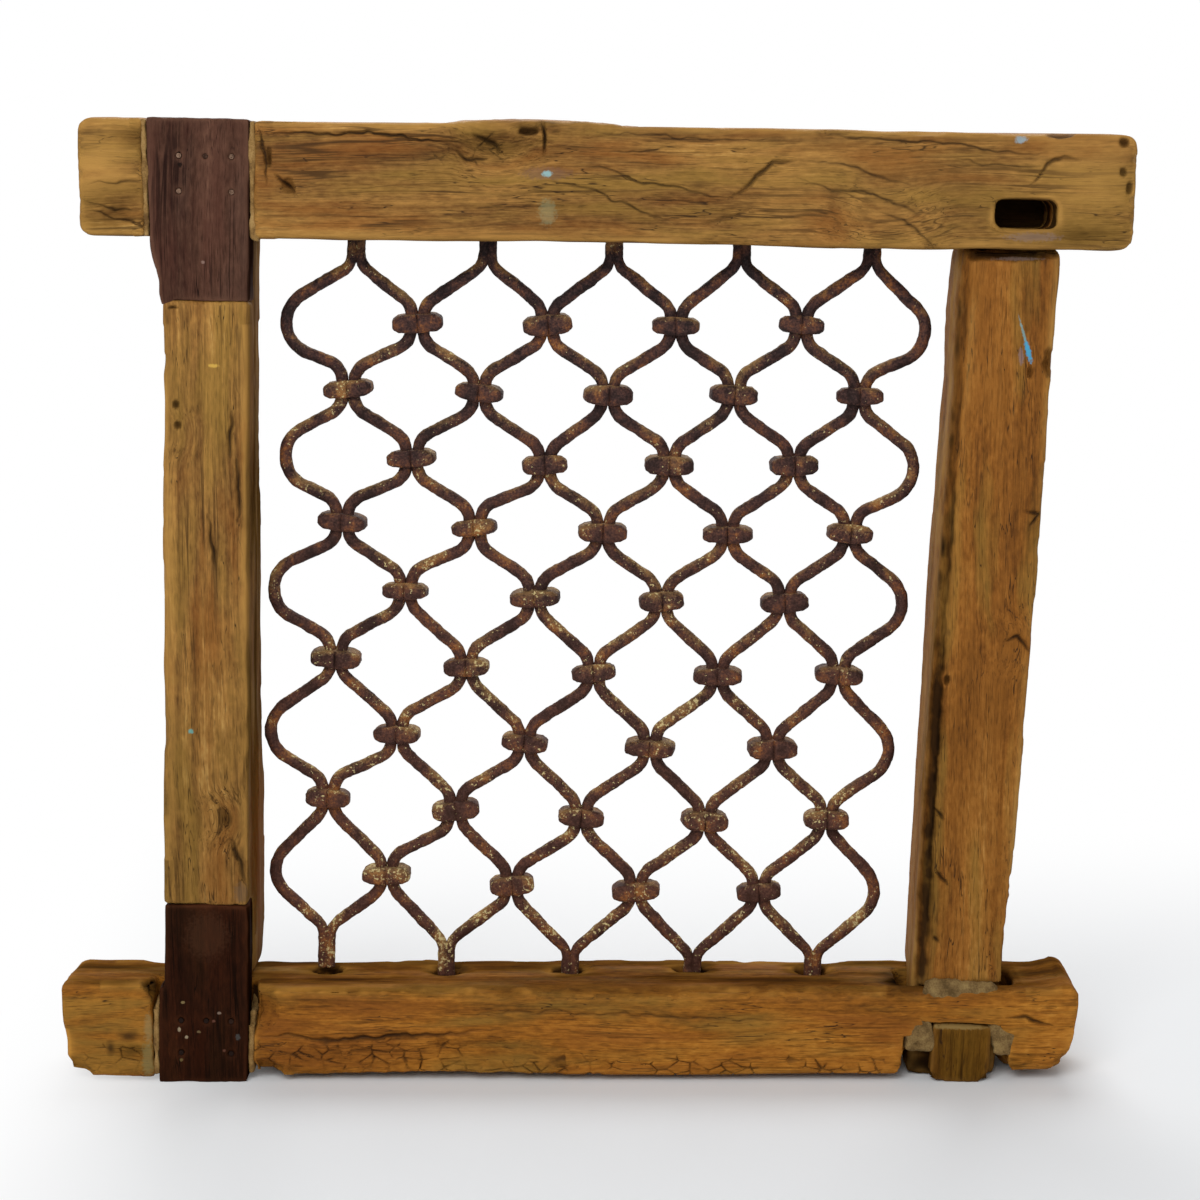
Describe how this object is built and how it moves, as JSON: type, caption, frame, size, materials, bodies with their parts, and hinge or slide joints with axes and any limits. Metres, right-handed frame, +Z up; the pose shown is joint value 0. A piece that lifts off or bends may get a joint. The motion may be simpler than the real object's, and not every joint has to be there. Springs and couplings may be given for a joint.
{
  "type": "jali window",
  "caption": "Old timber window frame with long horned rails, spliced left corners and a fixed grille of wavy iron bars tied in pairs by hammered collars.",
  "frame": {"origin": "on the floor, below the middle of the frame", "axes": "+X to the right along the sill as seen from the front, +Y to the back, +Z up"},
  "size_m": [0.753, 0.075, 0.6862],
  "materials": {
    "timber": "weathered, oiled honey-brown hardwood",
    "splice_timber": "dark reddish-brown hardwood, worn",
    "grille_iron": "rusted, with flecks of old paint",
    "nail_iron": "dull, filed flush",
    "putty": "dry, chalky filler"
  },
  "bodies": {
    "root": {"bottom_rail": "timber", "top_rail": "timber", "left_stile": "timber", "right_stile": "timber", "upper_splice": "splice_timber", "lower_splice": "splice_timber", "foot_block": "timber", "upper_splice_nails": "nail_iron", "lower_splice_nails": "nail_iron", "left_joint_putty": "putty", "right_joint_putty": "putty", "grille_bar_1": "grille_iron", "grille_bar_2": "grille_iron", "grille_bar_3": "grille_iron", "grille_bar_4": "grille_iron", "grille_bar_5": "grille_iron", "grille_bar_6": "grille_iron", "grille_bar_7": "grille_iron", "grille_bar_8": "grille_iron", "grille_bar_9": "grille_iron", "grille_bar_10": "grille_iron", "collars_row_1": "grille_iron", "collars_row_2": "grille_iron", "collars_row_3": "grille_iron", "collars_row_4": "grille_iron", "collars_row_5": "grille_iron", "collars_row_6": "grille_iron", "collars_row_7": "grille_iron", "collars_row_8": "grille_iron", "collars_row_9": "grille_iron"}
  },
  "joints": []
}
